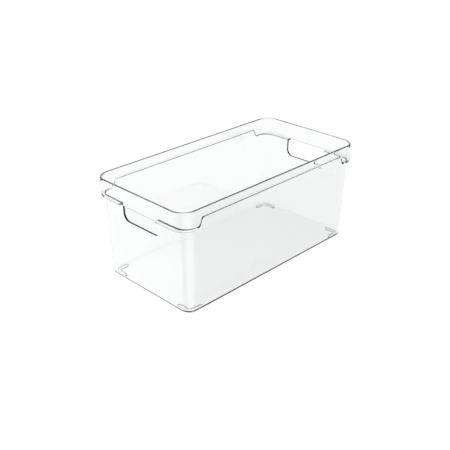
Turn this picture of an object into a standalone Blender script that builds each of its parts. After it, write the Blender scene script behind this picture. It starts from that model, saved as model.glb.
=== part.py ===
"""Clear refrigerator bin: a drafted, open-topped moulded shell with an outward-stepped
collar, a hand opening under the collar in each short end, and four L-shaped corner feet.

Frame: +X along the length, +Y across the width, +Z up. The origin is on the surface that
the bin stands on, below the middle of its outline. Units are metres.
"""
import math

import bmesh
import bpy

MM = 0.001

# ---------------------------------------------------------------- driving dimensions
LENGTH = 322.0 * MM          # over the collar, along X
WIDTH = 164.8 * MM           # over the collar, along Y
SHELL_HEIGHT = 138.4 * MM    # underside of the floor to the top of the rim
FOOT_DROP = 2.0 * MM         # how far the feet stand below the floor

COLLAR_RADIUS = 19.0 * MM    # plan radius of the collar's corners
COLLAR_WALL = 2.6 * MM       # wall of the collar
COLLAR_LOW = 113.0 * MM      # underside of the collar at the short ends, above the floor's underside
COLLAR_HIGH = 123.8 * MM     # underside of the collar along the long sides
RIM_ROUND = 1.2 * MM

STEP_END = 5.5 * MM          # how far the body sits inside the collar at the short ends
STEP_SIDE = 1.8 * MM         # and along the long sides
BASE_INSET_END = 9.1 * MM    # the same at the foot of the drafted body
BASE_INSET_SIDE = 5.6 * MM
BODY_RADIUS_TOP = 17.0 * MM
BODY_RADIUS_BASE = 13.5 * MM
BODY_WALL = 2.5 * MM
FLOOR = 2.0 * MM
FLOOR_FILLET = 1.0 * MM
BASE_FILLET = 2.2 * MM
LEDGE = 2.3 * MM             # thickness of the step under the collar

RAMP_START = 126.2 * MM      # where the collar's lower edge leaves its high run, from the middle
RAMP_END = 136.8 * MM        # where it reaches its low run
RAMP_RADIUS = 4.8 * MM

HANDLE_HALF = 33.8 * MM      # half the width of a hand opening
HANDLE_BOTTOM = 90.8 * MM    # its lower edge, above the floor's underside
HANDLE_RADIUS = 9.5 * MM     # its two lower corners
FREE_EDGE = 114.5 * MM       # the collar's lower edge over a hand opening

FOOT_X = 144.2 * MM          # centre line of the long arm's end of the L, from the middle
FOOT_Y = 70.4 * MM
FOOT_BEND = 7.0 * MM
FOOT_END_X = 127.3 * MM      # where the arm along X ends
FOOT_END_Y = 52.5 * MM       # where the arm along Y ends
FOOT_HALF = 2.0 * MM         # half the band's width
SEAT_DEPTH = 0.8 * MM        # the foot's seat in the floor
GAP = 0.3 * MM               # clearance of a foot in its seat

CORNER_SEGMENTS = 8

Z0 = FOOT_DROP               # height of the floor's underside in the part's frame


# ---------------------------------------------------------------- helpers
def clear_scene():
    for ob in list(bpy.data.objects):
        bpy.data.objects.remove(ob, do_unlink=True)


def new_collection(name):
    coll = bpy.data.collections.new(name)
    bpy.context.scene.collection.children.link(coll)
    return coll


def make_material(name, colour, roughness, ior):
    mat = bpy.data.materials.new(name)
    mat.use_nodes = True
    bsdf = mat.node_tree.nodes["Principled BSDF"]
    bsdf.inputs["Base Color"].default_value = (*colour, 1.0)
    bsdf.inputs["Roughness"].default_value = roughness
    bsdf.inputs["Metallic"].default_value = 0.0
    bsdf.inputs["IOR"].default_value = ior
    bsdf.inputs["Transmission Weight"].default_value = 1.0
    return mat


def link_mesh(bm, name, coll):
    bmesh.ops.recalc_face_normals(bm, faces=bm.faces)
    me = bpy.data.meshes.new(name)
    bm.to_mesh(me)
    bm.free()
    ob = bpy.data.objects.new(name, me)
    coll.objects.link(ob)
    return ob


def hide_cutter(ob):
    ob.hide_render = True
    ob.display_type = 'WIRE'
    return ob


def level_edges(bm, z):
    return [e for e in bm.edges if all(abs(v.co.z - z) < 1e-6 for v in e.verts)]


def rounded_block(name, coll, top, base, z_top, z_base, base_fillet=0.0, fillet_segments=2, top_fillet=0.0):
    """A block with rounded vertical edges. top and base are (half length, half width, corner
    radius): the ring of base vertices is drawn in to its own outline and radius."""
    hx, hy, r = top
    bm = bmesh.new()
    bmesh.ops.create_cube(bm, size=2.0)
    for v in bm.verts:
        v.co = (v.co.x * hx, v.co.y * hy, z_top if v.co.z > 0 else z_base)
    upright = [e for e in bm.edges if abs(e.verts[0].co.z - e.verts[1].co.z) > 1e-6]
    bmesh.ops.bevel(bm, geom=upright, offset=r, offset_type='OFFSET', segments=CORNER_SEGMENTS,
                    profile=0.5, affect='EDGES')
    bx, by, br = base
    for v in bm.verts:
        if abs(v.co.z - z_base) < 1e-6:
            ax = (abs(v.co.x) - (hx - r)) * br / r + bx - br
            ay = (abs(v.co.y) - (hy - r)) * br / r + by - br
            v.co.x = math.copysign(ax, v.co.x)
            v.co.y = math.copysign(ay, v.co.y)
    if base_fillet:
        bmesh.ops.bevel(bm, geom=level_edges(bm, z_base), offset=base_fillet, offset_type='OFFSET',
                        segments=fillet_segments, profile=0.5, affect='EDGES')
    if top_fillet:
        bmesh.ops.bevel(bm, geom=level_edges(bm, z_top), offset=top_fillet, offset_type='OFFSET',
                        segments=2, profile=0.5, affect='EDGES')
    return link_mesh(bm, name, coll)


def outline_mesh(name, coll, points, depth, plane):
    """A flat outline given thickness: a 2D curve filled on both faces, turned into a mesh.
    plane is the matrix that stands the outline where it belongs."""
    cu = bpy.data.curves.new(name + "_outline", 'CURVE')
    cu.dimensions = '2D'
    cu.fill_mode = 'BOTH'
    cu.extrude = depth / 2
    sp = cu.splines.new('POLY')
    sp.points.add(len(points) - 1)
    for p, (x, y) in zip(sp.points, points):
        p.co = (x, y, 0.0, 1.0)
    sp.use_cyclic_u = True
    tmp = bpy.data.objects.new(name + "_outline", cu)
    coll.objects.link(tmp)
    tmp.matrix_world = plane
    bpy.context.view_layer.update()
    deps = bpy.context.evaluated_depsgraph_get()
    me = bpy.data.meshes.new_from_object(tmp.evaluated_get(deps))
    me.name = name
    bm = bmesh.new()
    bm.from_mesh(me)
    bmesh.ops.remove_doubles(bm, verts=bm.verts, dist=0.000005)
    bmesh.ops.recalc_face_normals(bm, faces=bm.faces)
    bm.to_mesh(me)
    bm.free()
    ob = bpy.data.objects.new(name, me)
    coll.objects.link(ob)
    ob.matrix_world = tmp.matrix_world.copy()
    bpy.data.objects.remove(tmp, do_unlink=True)
    return ob


def boolean(ob, other, operation, name):
    mod = ob.modifiers.new(name, 'BOOLEAN')
    mod.operation = operation
    mod.object = other
    mod.solver = 'EXACT'
    return mod


def arc(cx, cy, r, a0, a1, n):
    return [(cx + r * math.cos(a0 + (a1 - a0) * i / n), cy + r * math.sin(a0 + (a1 - a0) * i / n))
            for i in range(n + 1)]


# ---------------------------------------------------------------- outlines that follow a rule
def body_section(z, inset=0.0):
    """Half length, half width and corner radius of the drafted body at height z above its
    underside, drawn in by inset."""
    f = (COLLAR_LOW - z) / COLLAR_LOW
    ix = STEP_END + (BASE_INSET_END - STEP_END) * f + inset
    iy = STEP_SIDE + (BASE_INSET_SIDE - STEP_SIDE) * f + inset
    r = BODY_RADIUS_TOP + (BODY_RADIUS_BASE - BODY_RADIUS_TOP) * f - inset
    return LENGTH / 2 - ix, WIDTH / 2 - iy, r


def ramp_angle():
    """Slope at the middle of the S in the collar's lower edge, for two equal arcs and a
    straight run between them."""
    rise = COLLAR_HIGH - COLLAR_LOW
    lo, hi = math.radians(20), math.radians(89)
    for _ in range(60):
        a = (lo + hi) / 2
        run = 2 * RAMP_RADIUS * math.sin(a) + (rise - 2 * RAMP_RADIUS * (1 - math.cos(a))) / math.tan(a)
        if run > RAMP_END - RAMP_START:
            lo = a
        else:
            hi = a
    return (lo + hi) / 2


def side_relief_outline(rise=0.0):
    """The area taken off the collar block along each long side, in X and Z, lifted by rise."""
    a, r, n = ramp_angle(), RAMP_RADIUS, 6
    zh, zl = Z0 + COLLAR_HIGH + rise, Z0 + COLLAR_LOW + rise
    half = [(RAMP_START + r * math.sin(a * i / n), zh - r * (1 - math.cos(a * i / n))) for i in range(n + 1)]
    half += [(RAMP_END - r * math.sin(a * i / n), zl + r * (1 - math.cos(a * i / n))) for i in range(n, -1, -1)]
    half.append((RAMP_END, zl - 3 * MM))
    return half + [(-x, z) for x, z in reversed(half)]


def handle_outline(zt):
    """A hand opening in Y and Z: rounded below, square above, up to zt."""
    w, zb, r, n = HANDLE_HALF, Z0 + HANDLE_BOTTOM, HANDLE_RADIUS, 8
    pts = arc(-w + r, zb + r, r, math.pi, 1.5 * math.pi, n)
    pts += arc(w - r, zb + r, r, 1.5 * math.pi, 2 * math.pi, n)
    return pts + [(w, zt), (-w, zt)]


def foot_outline(half):
    """The L-shaped band of one foot in the +X +Y corner, with round ends."""
    n = 8
    cx, cy = FOOT_X - FOOT_BEND, FOOT_Y - FOOT_BEND
    outer = arc(cx, cy, FOOT_BEND + half, 0.0, 0.5 * math.pi, n)
    inner = arc(cx, cy, FOOT_BEND - half, 0.5 * math.pi, 0.0, n)
    end_x = arc(FOOT_END_X, FOOT_Y, half, 0.5 * math.pi, 1.5 * math.pi, n)
    end_y = arc(FOOT_X, FOOT_END_Y, half, math.pi, 2 * math.pi, n)
    return outer + end_x + inner + end_y


# ---------------------------------------------------------------- the model
def plane_matrix(u, v, origin):
    from mathutils import Matrix, Vector
    u, v = Vector(u), Vector(v)
    w = u.cross(v)
    m = Matrix((u, v, w)).transposed().to_4x4()
    m.translation = Vector(origin)
    return m


def build():
    clear_scene()
    parts = new_collection("fridge_bin")
    cutters = new_collection("fridge_bin_cutters")
    clear_shell = make_material("clear_styrene", (0.975, 0.985, 0.985), 0.03, 1.57)
    clear_foot = make_material("clear_soft_foot", (0.93, 0.945, 0.945), 0.12, 1.48)

    half_x, half_y = LENGTH / 2, WIDTH / 2
    z_rim = Z0 + SHELL_HEIGHT

    # collar block, full outline
    shell = rounded_block("bin_shell", parts, (half_x, half_y, COLLAR_RADIUS), (half_x, half_y, COLLAR_RADIUS),
                          z_rim, Z0 + COLLAR_LOW, top_fillet=RIM_ROUND)
    # its lower edge rises in an S on each long side
    relief = hide_cutter(outline_mesh("side_relief_cutter", cutters, side_relief_outline(), WIDTH + 20 * MM,
                                      plane_matrix((1, 0, 0), (0, 0, 1), (0, 0, 0))))
    boolean(shell, relief, 'DIFFERENCE', "side relief")

    # drafted body, running up inside the collar
    z_body = COLLAR_HIGH + 3 * MM
    body = hide_cutter(rounded_block("body_block", cutters, body_section(z_body), body_section(0.0),
                                     Z0 + z_body, Z0, base_fillet=BASE_FILLET))
    boolean(shell, body, 'UNION', "body")

    # inside of the body, open at the top
    z_open = SHELL_HEIGHT + 4 * MM
    cavity = hide_cutter(rounded_block("cavity_block", cutters, body_section(z_open, BODY_WALL),
                                       body_section(FLOOR, BODY_WALL), Z0 + z_open, Z0 + FLOOR,
                                       base_fillet=FLOOR_FILLET, fillet_segments=3))
    boolean(shell, cavity, 'DIFFERENCE', "cavity")

    # the wider space inside the collar, above a ledge that follows the collar's lower edge
    space = (half_x - COLLAR_WALL, half_y - COLLAR_WALL, COLLAR_RADIUS - COLLAR_WALL)
    inside = hide_cutter(rounded_block("collar_space_block", cutters, space, space, Z0 + z_open,
                                       Z0 + COLLAR_LOW + LEDGE))
    lifted = hide_cutter(outline_mesh("ledge_relief_cutter", cutters, side_relief_outline(LEDGE), WIDTH + 20 * MM,
                                      plane_matrix((1, 0, 0), (0, 0, 1), (0, 0, 0))))
    boolean(inside, lifted, 'DIFFERENCE', "ledge relief")
    boolean(shell, inside, 'DIFFERENCE', "collar space")

    # hand openings: right through the wall up to the collar's free edge, and through the ledge
    # behind the collar
    start = 138 * MM
    for zt, reach in ((Z0 + FREE_EDGE, half_x + 5 * MM), (Z0 + COLLAR_LOW + LEDGE + 0.1 * MM, half_x - COLLAR_WALL)):
        for tag, side in (("right", 1), ("left", -1)):
            cut = hide_cutter(outline_mesh("handle_cutter_" + tag, cutters, handle_outline(zt), reach - start,
                                           plane_matrix((0, 1, 0), (0, 0, 1), (side * (reach + start) / 2, 0, 0))))
            boolean(shell, cut, 'DIFFERENCE', "hand opening " + tag)

    # feet and their seats
    corners = (("rear_right", 1, 1), ("rear_left", -1, 1), ("front_left", -1, -1), ("front_right", 1, -1))
    seat_top = Z0 + SEAT_DEPTH
    for tag, sx, sy in corners:
        for kind in ("seat", "foot"):
            half = FOOT_HALF + (GAP if kind == "seat" else 0.0)
            pts = [(sx * x, sy * y) for x, y in foot_outline(half)]
            if kind == "seat":
                lo, hi = -1 * MM, seat_top
                ob = hide_cutter(outline_mesh("foot_seat_" + tag, cutters, pts, hi - lo,
                                              plane_matrix((1, 0, 0), (0, 1, 0), (0, 0, (lo + hi) / 2))))
                boolean(shell, ob, 'DIFFERENCE', "seat " + tag)
            else:
                lo, hi = 0.0, seat_top - GAP
                ob = outline_mesh("corner_foot_" + tag, parts, pts, hi - lo,
                                  plane_matrix((1, 0, 0), (0, 1, 0), (0, 0, (lo + hi) / 2)))
                ob.data.materials.append(clear_foot)

    shell.data.materials.append(clear_shell)
    for ob in parts.objects:
        ob.data.shade_smooth()
        ob.data.set_sharp_from_angle(angle=math.radians(35))


build()
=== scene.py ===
import math

import bmesh
import bpy
from mathutils import Matrix, Vector


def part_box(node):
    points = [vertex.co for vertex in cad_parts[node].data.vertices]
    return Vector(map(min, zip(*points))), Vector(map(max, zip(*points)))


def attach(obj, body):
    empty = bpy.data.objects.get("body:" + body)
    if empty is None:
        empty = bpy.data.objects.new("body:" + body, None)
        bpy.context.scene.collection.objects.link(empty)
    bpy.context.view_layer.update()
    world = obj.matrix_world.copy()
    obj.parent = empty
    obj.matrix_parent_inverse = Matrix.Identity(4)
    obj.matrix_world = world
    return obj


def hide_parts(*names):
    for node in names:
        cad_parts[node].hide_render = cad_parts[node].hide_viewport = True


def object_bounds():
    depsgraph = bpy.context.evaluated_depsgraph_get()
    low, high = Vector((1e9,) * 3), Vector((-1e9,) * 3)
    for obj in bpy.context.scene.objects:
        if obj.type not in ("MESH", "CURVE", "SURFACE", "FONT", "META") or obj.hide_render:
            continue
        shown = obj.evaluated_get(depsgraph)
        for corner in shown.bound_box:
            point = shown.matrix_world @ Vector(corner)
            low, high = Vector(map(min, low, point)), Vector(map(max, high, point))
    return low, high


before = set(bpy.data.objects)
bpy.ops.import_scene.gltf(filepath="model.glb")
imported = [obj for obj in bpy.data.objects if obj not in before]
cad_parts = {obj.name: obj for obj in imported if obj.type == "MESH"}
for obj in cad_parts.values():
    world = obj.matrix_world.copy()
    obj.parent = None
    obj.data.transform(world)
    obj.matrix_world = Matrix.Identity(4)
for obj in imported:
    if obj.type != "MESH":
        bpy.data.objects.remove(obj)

MM = 0.001
cad_lo, cad_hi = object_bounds()

# ------------------------------------------------------------------ sizes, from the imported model
shell_lo, shell_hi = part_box("bin_shell")
foot_lo, foot_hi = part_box("corner_foot_rear_right")
LX = shell_hi.x / MM                     # half length and half width over the collar, mm
LY = shell_hi.y / MM
HZ = (shell_hi.z - shell_lo.z) / MM      # underside of the floor to the rim
Z0 = shell_lo.z / MM                     # height of the floor's underside
SEAT_TOP = foot_hi.z / MM

# ------------------------------------------------------------------ section of the moulding, mm
COLLAR_R = 19.0        # plan radius of the collar's corners
COLLAR_T = 2.6         # wall of the collar
BODY_T = 2.48          # wall of the body
FLOOR_T = 2.0
LEDGE_T = 2.3
LOW = 113.0            # collar underside at the ends
HIGH = 123.8           # and along the sides
STEP_END = 5.5         # body inside the collar
STEP_SIDE = 1.8
BASE_END = 9.1         # the same at the foot of the drafted walls
BASE_SIDE = 5.6
R_TOP = 17.0
R_BASE = 13.5
RAMP_A = 126.2
RAMP_B = 136.8
RAMP_R = 4.8
BASE_SIDE_R = 2.2        # fillet round the base, along the sides
BASE_END_R = 3.3         # and at the ends
FLOOR_FILLET = 1.0
R_UNDER_SIDE = 0.6     # concave fillet where the wall meets the collar's underside, along the sides
R_UNDER_END = 0.3      # and at the ends
R_LIP_SIDE = 1.0       # collar's outer lower edge
R_LIP_END = 0.5
R_LEDGE_IN = 0.7
R_LEDGE_OUT = 0.8
HANDLE_W = 33.8
HANDLE_Z = 90.8
HANDLE_R = 9.5
FREE_EDGE = 114.5      # collar's lower edge over the openings
FREE_ROUND = 0.6         # rounding of that edge
FOOT_HALF = 2.0        # half the width of a foot's band
FOOT_BEND = 7.0
FOOT_ROUND = 0.35
SEAT_GAP = 0.3         # round a foot in its seat
EDGE_ROUND = 0.28      # rounding of the openings' edges
CORNER_N = 20

CORNERS = (("rear_right", 1, 1), ("rear_left", -1, 1), ("front_left", -1, -1), ("front_right", 1, -1))


# ------------------------------------------------------------------ helpers
def add_object(name, mesh):
    ob = bpy.data.objects.new(name, mesh)
    bpy.context.scene.collection.objects.link(ob)
    return ob


def ramp_points():
    """The S in the collar's lower edge on a long side, from its high run outwards: two arcs and a
    straight run between them."""
    r, rise = RAMP_R, HIGH - LOW
    lo, hi = math.radians(20), math.radians(89)
    for _ in range(60):
        a = (lo + hi) / 2
        run = 2 * r * math.sin(a) + (rise - 2 * r * (1 - math.cos(a))) / math.tan(a)
        lo, hi = (a, hi) if run > RAMP_B - RAMP_A else (lo, a)
    a, n = (lo + hi) / 2, 9
    pts = [(RAMP_A + r * math.sin(a * i / n), HIGH - r * (1 - math.cos(a * i / n))) for i in range(n + 1)]
    x1, z1 = pts[-1]
    x2, z2 = RAMP_B - r * math.sin(a), LOW + r * (1 - math.cos(a))
    pts += [(x1 + (x2 - x1) * f, z1 + (z2 - z1) * f) for f in (0.2, 0.4, 0.6, 0.8)]
    pts += [(RAMP_B - r * math.sin(a * i / n), LOW + r * (1 - math.cos(a * i / n))) for i in range(n, -1, -1)]
    return pts


RAMP = ramp_points()


def underside(x):
    """Height of the collar's underside along a long side."""
    x = abs(x)
    if x <= RAMP[0][0]:
        return HIGH
    for (a, za), (b, zb) in zip(RAMP, RAMP[1:]):
        if a <= x <= b:
            return za + (zb - za) * (x - a) / (b - a)
    return LOW


def stations():
    """The points round the outline, as (kind, value, sign x, sign y): along a short end by y,
    round a corner by angle, and along a long side by x."""
    def quarter(sx, sy, backwards):
        q = [('end', y) for y in (0.0, 12.0, 24.0, 33.0, 42.0, 52.0)]
        q += [('corner', 90.0 * i / CORNER_N) for i in range(CORNER_N + 1)]
        q += [('side', p[0]) for p in reversed(RAMP)]
        q += [('side', x) for x in (112.0, 92.0, 70.0, 46.0, 22.0, 0.0)]
        q = [(k, v, sx, sy) for k, v in q]
        return q[::-1] if backwards else q
    q1, q2 = quarter(1, 1, False), quarter(-1, 1, True)
    q3, q4 = quarter(-1, -1, False), quarter(1, -1, True)
    return q1 + q2[1:] + q3[1:] + q4[1:-1]


STATIONS = [(s, underside(s[1]) if s[0] == 'side' else LOW) for s in stations()]


def outline(s, ix, iy, r):
    """The point of station s on the rounded rectangle drawn in by ix and iy, with corner radius r."""
    kind, v, sx, sy = s
    hx, hy = LX - ix, LY - iy
    if kind == 'end':
        x, y = hx, v
    elif kind == 'side':
        x, y = v, hy
    else:
        t = math.radians(v)
        x, y = hx - r + r * math.cos(t), hy - r + r * math.sin(t)
    return Vector((sx * x, sy * y, 0.0))


def body(z, inset=0.0):
    f = (LOW - z) / LOW
    return (STEP_END + (BASE_END - STEP_END) * f + inset, STEP_SIDE + (BASE_SIDE - STEP_SIDE) * f + inset,
            R_TOP + (R_BASE - R_TOP) * f - inset)


def step(w, r1, r2, soft, n=7):
    """A step of width w between two upright walls: a concave arc, a flat and a convex arc. Gives
    (share of w, height over the step). Where w is small the arcs are eased out to radius soft."""
    k = min(1.0, max(0.0, (w - 0.9) / 2.2))
    k = k * k * (3 - 2 * k)
    r1, r2 = soft + (r1 - soft) * k, soft + (r2 - soft) * k
    a = math.pi / 2 if w >= r1 + r2 else math.acos(max(0.0, 1 - w / (r1 + r2)))
    flat = max(0.0, w - (r1 + r2) * (1 - math.cos(a)))
    mid = (r1 - r2) / 2 * math.sin(a) if w < r1 + r2 else 0.0
    pts = []
    for i in range(n + 1):
        b = a * i / n
        pts.append((r1 * (1 - math.cos(b)), r1 * math.sin(a) - r1 * math.sin(b)))
    for i in range(n + 1):
        b = a * (1 - i / n)
        pts.append((r1 * (1 - math.cos(a)) + flat + r2 * (math.cos(b) - math.cos(a)),
                    -(r2 * math.sin(a) - r2 * math.sin(b))))
    w = max(w, 1e-6)
    return [(min(1.0, d / w), h + mid * 0.0) for d, h in pts]


def section(s, zs):
    """The wall's section at station s as a list of points: underside fillet, outer wall, collar, rim,
    inner wall and floor fillet."""
    P = []

    def put(p, z):
        P.append(Vector((p.x, p.y, z)))

    # outer base fillet, blended round the corners
    b = {'side': 1.0, 'end': 0.0}.get(s[0], s[1] / 90.0)
    rb = BASE_END_R + (BASE_SIDE_R - BASE_END_R) * b * b * (3 - 2 * b)
    for i in range(9):
        a = math.pi / 2 * i / 8
        off, z = rb * (1 - math.sin(a)), rb * (1 - math.cos(a))
        ix, iy, r = body(z)
        put(outline(s, ix + off, iy + off, max(r - off, 1.0)), z)
    # outer wall, step out to the collar
    foot, lip = outline(s, *body(zs)), outline(s, 0, 0, COLLAR_R)
    w = (lip - foot).length
    e = min(1.0, max(0.0, (w - 2.2) / 2.4))
    r1 = min(R_UNDER_SIDE + (R_UNDER_END - R_UNDER_SIDE) * e, w * 0.45)
    r2 = min(R_LIP_SIDE + (R_LIP_END - R_LIP_SIDE) * e, w * 0.5)
    for k in range(1, 8):
        z = rb + (zs - r1 - rb) * k / 8
        put(outline(s, *body(z)), z)
    n = 7
    out = (lip - foot) / max(w, 1e-9)
    for i in range(n + 1):
        a = math.pi / 2 * i / n
        dz = -r1 + r1 * math.sin(a)
        base = outline(s, *body(zs + dz))
        put(base + out * (r1 * (1 - math.cos(a))), zs + dz)
    for i in range(n + 1):
        a = math.pi / 2 * i / n
        put(lip - out * (r2 * (1 - math.sin(a))), zs + r2 * (1 - math.cos(a)))
    z1, z2 = zs + r2, HZ - COLLAR_T / 2
    for k in range(1, 4):
        put(lip, z1 + (z2 - z1) * k / 4)
    # rounded rim
    for i in range(15):
        a = math.pi * i / 14
        o = COLLAR_T / 2 * (1 - math.cos(a))
        put(outline(s, o, o, COLLAR_R - o), z2 + COLLAR_T / 2 * math.sin(a))
    # inner wall of the collar, ledge, inner wall of the body
    top = outline(s, COLLAR_T, COLLAR_T, COLLAR_R - COLLAR_T)
    zl = zs + LEDGE_T
    ix, iy, r = body(zl, BODY_T)
    low = outline(s, max(ix, COLLAR_T + 0.05), max(iy, COLLAR_T + 0.05), r)
    w = (low - top).length
    st = step(w, R_LEDGE_IN, R_LEDGE_OUT, 9.0)
    h0, h1 = st[0][1], st[-1][1]
    for k in range(1, 4):
        put(top, z2 + (zl + h0 - z2) * k / 4)
    for d, h in st:
        put(top + (low - top) * d, zl + h)
    z3, z4 = zl + h1, FLOOR_T + FLOOR_FILLET
    for k in range(1, 9):
        z = z3 + (z4 - z3) * k / 9
        ix, iy, r = body(z, BODY_T)
        put(outline(s, max(ix, COLLAR_T + 0.05), max(iy, COLLAR_T + 0.05), r), z)
    for i in range(9):
        a = math.pi / 2 * i / 8
        off, z = FLOOR_FILLET * (1 - math.cos(a)), FLOOR_T + FLOOR_FILLET * (1 - math.sin(a))
        ix, iy, r = body(z, BODY_T)
        put(outline(s, ix + off, iy + off, max(r - off, 0.8)), z)
    return P


def prism(name, pts, place, a, b):
    """A closed prism over the outline pts, between place(u, v, a) and place(u, v, b)."""
    bm = bmesh.new()
    A = [bm.verts.new(place(u, v, a)) for u, v in pts]
    B = [bm.verts.new(place(u, v, b)) for u, v in pts]
    bm.faces.new(A)
    bm.faces.new(B[::-1])
    for i in range(len(pts)):
        j = (i + 1) % len(pts)
        bm.faces.new((A[i], B[i], B[j], A[j]))
    bmesh.ops.recalc_face_normals(bm, faces=bm.faces)
    me = bpy.data.meshes.new(name)
    bm.to_mesh(me)
    bm.free()
    return add_object(name, me)


def arc(cx, cy, r, a0, a1, n):
    return [(cx + r * math.cos(math.radians(a0 + (a1 - a0) * i / n)),
             cy + r * math.sin(math.radians(a0 + (a1 - a0) * i / n))) for i in range(n + 1)]


def foot_outline(tag, sx, sy, grow=0.0):
    """The L-shaped band of a foot with round ends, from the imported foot's box, in mm, and its
    lowest and highest level."""
    lo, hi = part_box("corner_foot_" + tag)
    lo, hi = Vector(lo) / MM, Vector(hi) / MM
    x_out, y_out = max(abs(lo.x), abs(hi.x)) - FOOT_HALF, max(abs(lo.y), abs(hi.y)) - FOOT_HALF
    x_end, y_end = min(abs(lo.x), abs(hi.x)) + FOOT_HALF, min(abs(lo.y), abs(hi.y)) + FOOT_HALF
    cx, cy, h = x_out - FOOT_BEND, y_out - FOOT_BEND, FOOT_HALF + grow
    pts = arc(cx, cy, FOOT_BEND + h, 0, 90, 16) + arc(x_end, y_out, h, 90, 270, 14)
    pts += arc(cx, cy, FOOT_BEND - h, 90, 0, 16) + arc(x_out, y_end, h, 180, 360, 14)
    return [(sx * x, sy * y) for x, y in pts], lo.z, hi.z


# ------------------------------------------------------------------ the moulded shell
def make_shell():
    cols = [section(s, zs) for s, zs in STATIONS]
    bm = bmesh.new()
    grid = [[bm.verts.new(((p.x) * MM, p.y * MM, (p.z + Z0) * MM)) for p in col] for col in cols]
    n, m = len(grid), len(grid[0])
    for i in range(n):
        a, b = grid[i], grid[(i + 1) % n]
        for j in range(m - 1):
            bm.faces.new((a[j], b[j], b[j + 1], a[j + 1]))
    under = bm.faces.new([c[0] for c in grid][::-1])
    floor = bm.faces.new([c[-1] for c in grid])
    for f in (under, floor):
        bmesh.ops.inset_region(bm, faces=[f], thickness=0.8 * MM, use_even_offset=True)
    bmesh.ops.recalc_face_normals(bm, faces=bm.faces)
    me = bpy.data.meshes.new("moulded_shell")
    bm.to_mesh(me)
    bm.free()
    ob = add_object("moulded_shell", me)

    # hand openings, which take the ledge away inside them and end in the collar's free edge
    cutters = []
    w, r, zb = HANDLE_W, HANDLE_R, HANDLE_Z
    for zt, x1 in ((FREE_EDGE, LX + 2.0), (LOW + LEDGE_T + R_LEDGE_IN, LX - COLLAR_T)):
        pts = arc(-w + r, zb + r, r, 180, 270, 14) + arc(w - r, zb + r, r, 270, 360, 14) + [(w, zt), (-w, zt)]
        for side in (1, -1):
            c = prism("opening_cutter", pts, lambda u, v, t, side=side: (side * t * MM, u * MM, (v + Z0) * MM),
                      140.0, x1)
            cutters.append(c)
            mod = ob.modifiers.new("opening", 'BOOLEAN')
            mod.object, mod.solver = c, 'EXACT'
    # the free edge itself is rounded
    r, xi, zf = FREE_ROUND, LX - COLLAR_T, FREE_EDGE
    pts = arc(xi + r, zf + r, r, 180, 270, 7) + arc(LX - r, zf + r, r, 270, 360, 7)
    pts += [(LX + 2.0, zf + r), (LX + 2.0, LOW - 1.0), (xi, LOW - 1.0)]
    for side in (1, -1):
        c = prism("edge_cutter", pts, lambda u, v, t, side=side: (side * u * MM, t * MM, (v + Z0) * MM), -w, w)
        cutters.append(c)
        mod = ob.modifiers.new("edge", 'BOOLEAN')
        mod.object, mod.solver = c, 'EXACT'
    for tag, sx, sy in CORNERS:
        pts, low, top = foot_outline(tag, sx, sy, SEAT_GAP)
        c = prism("seat_cutter", pts, lambda u, v, t: (u * MM, v * MM, t * MM), low - 1.0, top + SEAT_GAP)
        cutters.append(c)
        mod = ob.modifiers.new("seat", 'BOOLEAN')
        mod.object, mod.solver = c, 'EXACT'
    bpy.context.view_layer.update()
    deps = bpy.context.evaluated_depsgraph_get()
    cut = bpy.data.meshes.new_from_object(ob.evaluated_get(deps))
    ob.modifiers.clear()
    ob.data = cut
    for c in cutters:
        bpy.data.objects.remove(c, do_unlink=True)
    bev = ob.modifiers.new("edges", 'BEVEL')
    bev.width, bev.segments, bev.limit_method, bev.angle_limit = EDGE_ROUND * MM, 3, 'ANGLE', math.radians(40)
    bev.use_clamp_overlap = True
    bev.harden_normals = True
    cut.shade_smooth()
    return ob


# ------------------------------------------------------------------ feet
def make_foot(tag, sx, sy):
    pts, low, top = foot_outline(tag, sx, sy)
    ob = prism("foot_" + tag, pts, lambda u, v, t: (u * MM, v * MM, t * MM), low, top)
    bev = ob.modifiers.new("edges", 'BEVEL')
    bev.width, bev.segments, bev.limit_method, bev.angle_limit = FOOT_ROUND * MM, 3, 'ANGLE', math.radians(50)
    bev.harden_normals = True
    ob.data.shade_smooth()
    return ob


# ------------------------------------------------------------------ materials
def node(tree, kind, **inputs):
    n = tree.nodes.new(kind)
    for key, value in inputs.items():
        n.inputs[key].default_value = value
    return n


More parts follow.
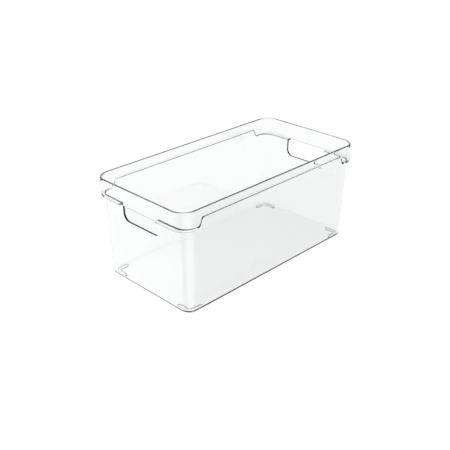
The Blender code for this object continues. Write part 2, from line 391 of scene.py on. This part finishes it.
def clear_plastic(name, tint, ior, rough, absorb, wave):
    """Clear moulded plastic: faint flow waviness in the surface, and a polish that varies a little."""
    mat = bpy.data.materials.new(name)
    mat.use_nodes = True
    t = mat.node_tree
    p = t.nodes["Principled BSDF"]
    p.inputs["Base Color"].default_value = (*tint, 1.0)
    p.inputs["IOR"].default_value = ior
    p.inputs["Transmission Weight"].default_value = 1.0
    coord = t.nodes.new("ShaderNodeTexCoord")
    stretch = t.nodes.new("ShaderNodeMapping")
    stretch.inputs["Scale"].default_value = (1.0, 1.0, 0.35)
    t.links.new(coord.outputs["Object"], stretch.inputs["Vector"])
    flow = t.nodes.new("ShaderNodeTexNoise")
    flow.inputs["Scale"].default_value = 22.0
    flow.inputs["Detail"].default_value = 2.0
    flow.inputs["Roughness"].default_value = 0.4
    t.links.new(stretch.outputs["Vector"], flow.inputs["Vector"])
    bump = t.nodes.new("ShaderNodeBump")
    bump.inputs["Strength"].default_value = 1.0
    bump.inputs["Distance"].default_value = wave
    t.links.new(flow.outputs["Fac"], bump.inputs["Height"])
    t.links.new(bump.outputs["Normal"], p.inputs["Normal"])
    haze = t.nodes.new("ShaderNodeTexNoise")
    haze.inputs["Scale"].default_value = 60.0
    haze.inputs["Detail"].default_value = 4.0
    t.links.new(coord.outputs["Object"], haze.inputs["Vector"])
    span = t.nodes.new("ShaderNodeMapRange")
    span.inputs["From Min"].default_value = 0.35
    span.inputs["From Max"].default_value = 0.75
    span.inputs["To Min"].default_value = rough[0]
    span.inputs["To Max"].default_value = rough[1]
    t.links.new(haze.outputs["Fac"], span.inputs["Value"])
    t.links.new(span.outputs["Result"], p.inputs["Roughness"])
    if absorb:
        va = t.nodes.new("ShaderNodeVolumeAbsorption")
        va.inputs["Color"].default_value = (0.02, 0.03, 0.03, 1.0)
        va.inputs["Density"].default_value = absorb
        t.links.new(va.outputs["Volume"], t.nodes["Material Output"].inputs["Volume"])
    return mat


WAVE = 0.00002
ABSORB = 4.0
shell = make_shell()
shell.data.materials.clear()
shell.data.materials.append(clear_plastic("clear_styrene", (0.985, 0.99, 0.99), 1.57, (0.0, 0.012), ABSORB, WAVE))
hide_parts("bin_shell")
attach(shell, "root")
foot_mat = clear_plastic("clear_soft_foot", (0.97, 0.98, 0.98), 1.48, (0.02, 0.08), ABSORB, 0.0)
for tag, sx, sy in CORNERS:
    foot = make_foot(tag, sx, sy)
    foot.data.materials.append(foot_mat)
    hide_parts("corner_foot_" + tag)
    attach(foot, "root")

# ------------------------------------------------------------------ floor, light and camera
# Brightness of the surroundings round the compass, starting at -180 degrees, at six heights. The
# part below the horizon is met only by reflections: the floor hides it from everything else.
SKY = [
    (-0.20, [0.54, 0.26, 0.87, 1.56, 1.73, 1.80, 1.56, 0.89, 0.43, 0.37, 0.74, 0.77,
            0.77, 0.89, 0.92, 0.98, 0.94, 0.78, 0.94, 1.12, 1.38, 1.40, 1.50, 1.21]),
    (0.03, [0.86, 0.78, 0.72, 0.39, 0.01, 0.20, 0.48, 0.51, 0.56, 0.95, 0.89, 0.93]),
    (0.25, [0.88, 0.90, 0.65, 0.35, 0.00, 0.23, 0.63, 0.68, 0.74, 0.93, 0.80, 0.84]),
    (0.50, [0.82, 0.80, 0.69, 0.61, 0.51, 0.41, 0.55, 0.58, 0.65, 0.36, 0.79, 1.36,
            0.95, 0.68, 0.53, 0.70]),
    (0.80, [0.75, 0.79, 0.66, 0.78, 0.25, 0.43, 0.41, 0.42]),
    (1.00, [0.78]),
]


def calc(tree, op, a, b=None, clamp=False):
    n = tree.nodes.new("ShaderNodeMath")
    n.operation, n.use_clamp = op, clamp
    for i, v in enumerate((a, b)):
        if isinstance(v, (int, float)):
            n.inputs[i].default_value = v
        elif v is not None:
            tree.links.new(v, n.inputs[i])
    return n.outputs[0]


def blend(tree, fac, a, b):
    n = tree.nodes.new("ShaderNodeMix")
    n.data_type = 'RGBA'
    for i, v in ((0, fac), (6, a), (7, b)):
        if isinstance(v, tuple):
            n.inputs[i].default_value = v
        else:
            tree.links.new(v, n.inputs[i])
    return n.outputs[2]


def rings(tree, vec, level, table):
    """A grey that goes round the compass by each row's values, and between the rows by level."""
    turn = calc(tree, 'ADD', calc(tree, 'MULTIPLY', calc(tree, 'ARCTAN2', vec[1], vec[0]), 0.5 / math.pi), 0.5)
    got = None
    for k, (pos, greys) in enumerate(table):
        ramp = tree.nodes.new("ShaderNodeValToRGB")
        stops = ramp.color_ramp.elements
        while len(stops) > 1:
            stops.remove(stops[-1])
        stops[0].position = 0.0
        for i in range(1, len(greys) + 1):
            stops.new(i / len(greys))
        for e, g in zip(stops, greys + greys[:1]):
            e.color = (g, g, g, 1)
        tree.links.new(turn, ramp.inputs["Fac"])
        if got is None:
            got = ramp.outputs["Color"]
        else:
            f = calc(tree, 'DIVIDE', calc(tree, 'SUBTRACT', level, last), pos - last, clamp=True)
            got = blend(tree, f, got, ramp.outputs["Color"])
        last = pos
    return got


me = bpy.data.meshes.new("studio_floor")
bm = bmesh.new()
bmesh.ops.create_grid(bm, x_segments=1, y_segments=1, size=6.0)
bm.to_mesh(me)
bm.free()
floor = add_object("studio_floor", me)
floor.location.z = cad_lo.z - 0.00005
mat = bpy.data.materials.new("studio_floor")
mat.use_nodes = True
t = mat.node_tree
t.nodes.clear()
glow = t.nodes.new("ShaderNodeEmission")
seen = t.nodes.new("ShaderNodeLightPath").outputs["Is Camera Ray"]
t.links.new(blend(t, seen, (1, 1, 1, 1), (1.05, 1.05, 1.05, 1)), glow.inputs["Color"])
out = t.nodes.new("ShaderNodeOutputMaterial")
t.links.new(glow.outputs["Emission"], out.inputs["Surface"])
floor.data.materials.append(mat)
floor.visible_glossy = False

world = bpy.data.worlds.new("studio")
bpy.context.scene.world = world
world.use_nodes = True
t = world.node_tree
t.nodes.clear()
way = t.nodes.new("ShaderNodeSeparateXYZ")
t.links.new(t.nodes.new("ShaderNodeTexCoord").outputs["Generated"], way.inputs[0])
tone = rings(t, (way.outputs[0], way.outputs[1]), way.outputs[2], SKY)
path = t.nodes.new("ShaderNodeLightPath")
tone = blend(t, path.outputs["Is Camera Ray"], tone, (1.05, 1.05, 1.05, 1))
soft = t.nodes.new("ShaderNodeBackground")
t.links.new(tone, soft.inputs["Color"])
out = t.nodes.new("ShaderNodeOutputWorld")
t.links.new(soft.outputs[0], out.inputs["Surface"])

cam_data = bpy.data.cameras.new("camera")
cam = bpy.data.objects.new("camera", cam_data)
bpy.context.scene.collection.objects.link(cam)
right = Vector((0.70677737, -0.70741941, -0.00485021))
down = Vector((-0.32385385, -0.31744926, -0.89126015))
ahead = Vector((0.62895503, 0.63149327, -0.45346645))
cam.matrix_world = Matrix(((right.x, -down.x, -ahead.x, -0.629416),
                           (right.y, -down.y, -ahead.y, -0.618752),
                           (right.z, -down.z, -ahead.z, 0.490792),
                           (0, 0, 0, 1)))
cam_data.sensor_width = 36.0
cam_data.lens = 57.735
cam_data.clip_start = 0.01
cam_data.clip_end = 50.0
bpy.context.scene.camera = cam

sc = bpy.context.scene
sc.view_settings.view_transform = 'Standard'
sc.view_settings.look = 'None'
GAMMA = 0.8
sc.view_settings.gamma = GAMMA
BOUNCES = 12
sc.cycles.max_bounces = BOUNCES
sc.cycles.transmission_bounces = 24
sc.cycles.glossy_bounces = 12
sc.cycles.transparent_max_bounces = 16
DENOISE = True
sc.cycles.use_denoising = DENOISE
